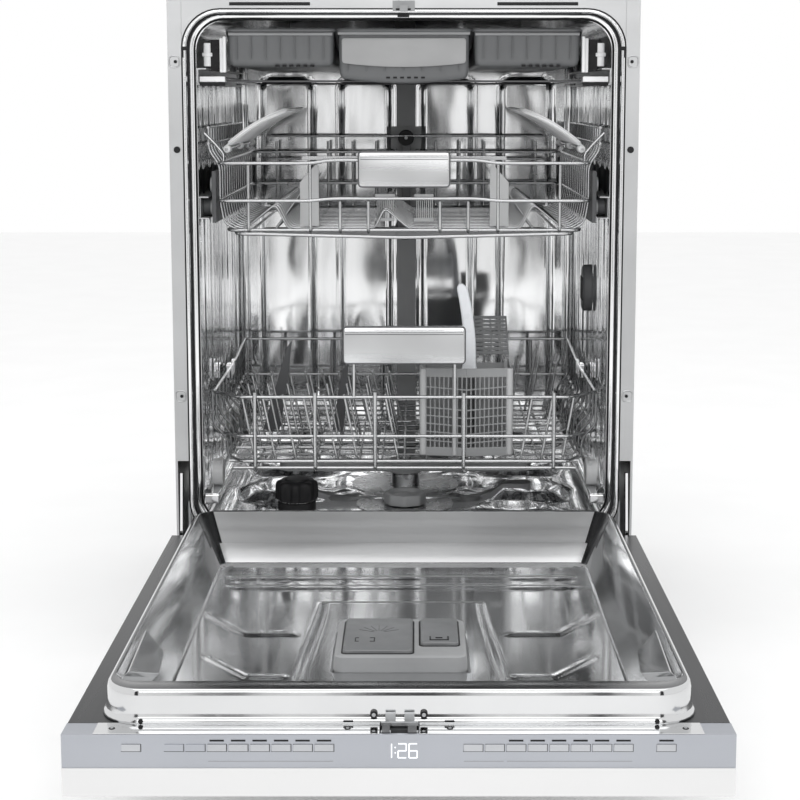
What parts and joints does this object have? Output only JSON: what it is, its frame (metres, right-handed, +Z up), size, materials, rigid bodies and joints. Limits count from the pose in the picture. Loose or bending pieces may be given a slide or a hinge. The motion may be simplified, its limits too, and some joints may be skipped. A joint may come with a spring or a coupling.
{
  "type": "built-in dishwasher",
  "caption": "Panel-ready built-in dishwasher with a steel tub, drop-down door, sliding wire racks, flatware trays, cutlery basket, spray arms and push keys.",
  "frame": {"origin": "centre of the bounding box's bottom face: on the floor, midway between the sides, and midway between the open door's tip and the cabinet's back", "axes": "+Z up, +Y from the door towards the cabinet's back, +X to the right as seen from the front"},
  "size_m": [0.598, 1.278, 0.86],
  "materials": {
    "stainless_tub": "polished",
    "galvanised_sheet": "satin",
    "seal_rubber": "matte",
    "felt_blanket": "matte",
    "base_plastic": "matte",
    "sump_plastic": "satin",
    "tank_plastic": "satin",
    "pump_metal": "satin",
    "valve_plastic": "satin",
    "box_steel": "satin",
    "duct_plastic": "satin",
    "rail_steel": "polished",
    "spring_steel": "satin",
    "filter_plastic": "satin",
    "cap_plastic": "satin",
    "arm_plastic": "satin",
    "door_steel": "satin",
    "liner_steel": "polished",
    "panel_silver": "satin",
    "panel_white": "lacquered",
    "latch_plastic": "satin",
    "dispenser_plastic": "satin",
    "lid_plastic": "satin",
    "hinge_steel": "polished",
    "rack_wire": "polished",
    "tray_plastic": "satin",
    "handle_steel": "brushed",
    "shelf_plastic": "satin",
    "carrier_plastic": "satin",
    "wheel_plastic": "satin",
    "basket_plastic": "satin",
    "key_silver": "satin"
  },
  "bodies": {
    "cabinet": {"tub": "stainless_tub", "cabinet_frame": "galvanised_sheet", "door_gasket": "seal_rubber", "insulation_blanket": "felt_blanket", "base_tray": "base_plastic", "leveling_feet": "base_plastic", "toe_kick": "base_plastic", "sump_housing": "sump_plastic", "softener_tank": "tank_plastic", "wash_pumps": "pump_metal", "inlet_valve": "valve_plastic", "terminal_box": "box_steel", "water_duct": "duct_plastic", "rack_rails": "rail_steel", "latch_striker": "rail_steel", "hinge_brackets": "galvanised_sheet", "door_springs": "spring_steel"},
    "door": {"door_shell": "door_steel", "door_liner": "liner_steel", "control_panel": "panel_silver", "furniture_panel": "panel_white", "door_latch": "latch_plastic", "dispenser_body": "dispenser_plastic", "hinge_arms": "hinge_steel"},
    "detergent_lid": {"detergent_lid": "lid_plastic"},
    "rinse_aid_lid": {"rinse_aid_lid": "lid_plastic"},
    "lower_rack": {"lower_rack": "rack_wire", "lower_rack_handle": "handle_steel", "lower_rack_wheels": "wheel_plastic"},
    "lower_tines": {"lower_tines": "rack_wire"},
    "cutlery_basket": {"cutlery_basket": "basket_plastic"},
    "basket_lid": {"basket_lid": "basket_plastic"},
    "upper_carriers": {"upper_rack_carriers": "carrier_plastic"},
    "upper_rack": {"upper_rack": "rack_wire", "upper_rack_handle": "handle_steel"},
    "middle_spray_arm": {"middle_spray_arm": "arm_plastic"},
    "cup_shelf_left": {"cup_shelf_left": "shelf_plastic"},
    "cup_shelf_right": {"cup_shelf_right": "shelf_plastic"},
    "third_rack": {"third_rack_frame": "rack_wire", "third_rack_trays": "tray_plastic"},
    "lower_spray_arm": {"lower_spray_arm": "arm_plastic"},
    "ceiling_sprayer": {"ceiling_sprayer": "arm_plastic"},
    "filter_cup": {"filter_cup": "filter_plastic"},
    "softener_cap": {"softener_cap": "cap_plastic"},
    "key_power": {"key_power": "key_silver"},
    "key_program_1": {"key_program_1": "key_silver"},
    "key_program_2": {"key_program_2": "key_silver"},
    "key_program_3": {"key_program_3": "key_silver"},
    "key_program_4": {"key_program_4": "key_silver"},
    "key_program_5": {"key_program_5": "key_silver"},
    "key_program_6": {"key_program_6": "key_silver"},
    "key_minus": {"key_minus": "key_silver"},
    "key_plus": {"key_plus": "key_silver"},
    "key_option_1": {"key_option_1": "key_silver"},
    "key_option_2": {"key_option_2": "key_silver"},
    "key_option_3": {"key_option_3": "key_silver"},
    "key_option_4": {"key_option_4": "key_silver"},
    "key_option_5": {"key_option_5": "key_silver"},
    "key_option_6": {"key_option_6": "key_silver"},
    "key_start": {"key_start": "key_silver"}
  },
  "joints": [
    {"name": "door_hinge", "type": "hinge", "parent": "cabinet", "child": "door", "pos_m": [0, 0.058, 0.16], "axis": [-1, 0, 0], "range_deg": [0, 90]},
    {"name": "lower_rack_slide", "type": "slide", "parent": "cabinet", "child": "lower_rack", "axis": [0, 1, 0], "range_m": [-0.45, 0]},
    {"name": "upper_rack_slide", "type": "slide", "parent": "cabinet", "child": "upper_carriers", "axis": [0, 1, 0], "range_m": [-0.45, 0]},
    {"name": "third_rack_slide", "type": "slide", "parent": "cabinet", "child": "third_rack", "axis": [0, 1, 0], "range_m": [-0.45, 0]},
    {"name": "upper_rack_lift", "type": "slide", "parent": "upper_carriers", "child": "upper_rack", "axis": [0, 0, 1], "range_m": [0, 0.04]},
    {"name": "cup_shelf_left_hinge", "type": "hinge", "parent": "upper_rack", "child": "cup_shelf_left", "pos_m": [-0.236, 0.344, 0.668], "axis": [0, 1, 0], "range_deg": [-45, 0]},
    {"name": "cup_shelf_right_hinge", "type": "hinge", "parent": "upper_rack", "child": "cup_shelf_right", "pos_m": [0.236, 0.344, 0.668], "axis": [0, -1, 0], "range_deg": [-45, 0]},
    {"name": "lower_tines_fold", "type": "hinge", "parent": "lower_rack", "child": "lower_tines", "pos_m": [-0.105, 0.379, 0.258], "axis": [-1, 0, 0], "range_deg": [0, 80]},
    {"name": "cutlery_basket_lift", "type": "slide", "parent": "lower_rack", "child": "cutlery_basket", "axis": [0, 0, 1], "range_m": [0, 0.04]},
    {"name": "basket_lid_hinge", "type": "hinge", "parent": "cutlery_basket", "child": "basket_lid", "pos_m": [0.122, 0.247, 0.378], "axis": [1, 0, 0], "range_deg": [0, 150]},
    {"name": "detergent_lid_hinge", "type": "hinge", "parent": "door", "child": "detergent_lid", "pos_m": [-0.0225, -0.366, 0.1954], "axis": [1, 0, 0], "range_deg": [-100, 0]},
    {"name": "rinse_aid_lid_hinge", "type": "hinge", "parent": "door", "child": "rinse_aid_lid", "pos_m": [0.039, -0.366, 0.1954], "axis": [1, 0, 0], "range_deg": [-100, 0]},
    {"name": "filter_twist", "type": "hinge", "parent": "cabinet", "child": "filter_cup", "pos_m": [0, 0.229, 0.17], "axis": [0, 0, 1], "range_deg": [0, 60]},
    {"name": "softener_cap_turn", "type": "hinge", "parent": "cabinet", "child": "softener_cap", "pos_m": [-0.148, 0.179, 0.2], "axis": [0, 0, 1], "range_deg": [0, 180]},
    {"name": "lower_spray_arm_spin", "type": "hinge", "parent": "cabinet", "child": "lower_spray_arm", "pos_m": [0, 0.349, 0.199], "axis": [0, 0, 1], "continuous": true},
    {"name": "middle_spray_arm_spin", "type": "hinge", "parent": "upper_rack", "child": "middle_spray_arm", "pos_m": [0, 0.349, 0.544], "axis": [0, 0, 1], "continuous": true},
    {"name": "ceiling_sprayer_spin", "type": "hinge", "parent": "cabinet", "child": "ceiling_sprayer", "pos_m": [0, 0.364, 0.812], "axis": [0, 0, 1], "continuous": true},
    {"name": "key_power_press", "type": "slide", "parent": "door", "child": "key_power", "axis": [0, 1, 0], "range_m": [0, 0.001], "stiffness_N_per_m": 300},
    {"name": "key_program_1_press", "type": "slide", "parent": "door", "child": "key_program_1", "axis": [0, 1, 0], "range_m": [0, 0.001], "stiffness_N_per_m": 300},
    {"name": "key_program_2_press", "type": "slide", "parent": "door", "child": "key_program_2", "axis": [0, 1, 0], "range_m": [0, 0.001], "stiffness_N_per_m": 300},
    {"name": "key_program_3_press", "type": "slide", "parent": "door", "child": "key_program_3", "axis": [0, 1, 0], "range_m": [0, 0.001], "stiffness_N_per_m": 300},
    {"name": "key_program_4_press", "type": "slide", "parent": "door", "child": "key_program_4", "axis": [0, 1, 0], "range_m": [0, 0.001], "stiffness_N_per_m": 300},
    {"name": "key_program_5_press", "type": "slide", "parent": "door", "child": "key_program_5", "axis": [0, 1, 0], "range_m": [0, 0.001], "stiffness_N_per_m": 300},
    {"name": "key_program_6_press", "type": "slide", "parent": "door", "child": "key_program_6", "axis": [0, 1, 0], "range_m": [0, 0.001], "stiffness_N_per_m": 300},
    {"name": "key_minus_press", "type": "slide", "parent": "door", "child": "key_minus", "axis": [0, 1, 0], "range_m": [0, 0.001], "stiffness_N_per_m": 300},
    {"name": "key_plus_press", "type": "slide", "parent": "door", "child": "key_plus", "axis": [0, 1, 0], "range_m": [0, 0.001], "stiffness_N_per_m": 300},
    {"name": "key_option_1_press", "type": "slide", "parent": "door", "child": "key_option_1", "axis": [0, 1, 0], "range_m": [0, 0.001], "stiffness_N_per_m": 300},
    {"name": "key_option_2_press", "type": "slide", "parent": "door", "child": "key_option_2", "axis": [0, 1, 0], "range_m": [0, 0.001], "stiffness_N_per_m": 300},
    {"name": "key_option_3_press", "type": "slide", "parent": "door", "child": "key_option_3", "axis": [0, 1, 0], "range_m": [0, 0.001], "stiffness_N_per_m": 300},
    {"name": "key_option_4_press", "type": "slide", "parent": "door", "child": "key_option_4", "axis": [0, 1, 0], "range_m": [0, 0.001], "stiffness_N_per_m": 300},
    {"name": "key_option_5_press", "type": "slide", "parent": "door", "child": "key_option_5", "axis": [0, 1, 0], "range_m": [0, 0.001], "stiffness_N_per_m": 300},
    {"name": "key_option_6_press", "type": "slide", "parent": "door", "child": "key_option_6", "axis": [0, 1, 0], "range_m": [0, 0.001], "stiffness_N_per_m": 300},
    {"name": "key_start_press", "type": "slide", "parent": "door", "child": "key_start", "axis": [0, 1, 0], "range_m": [0, 0.001], "stiffness_N_per_m": 300}
  ]
}
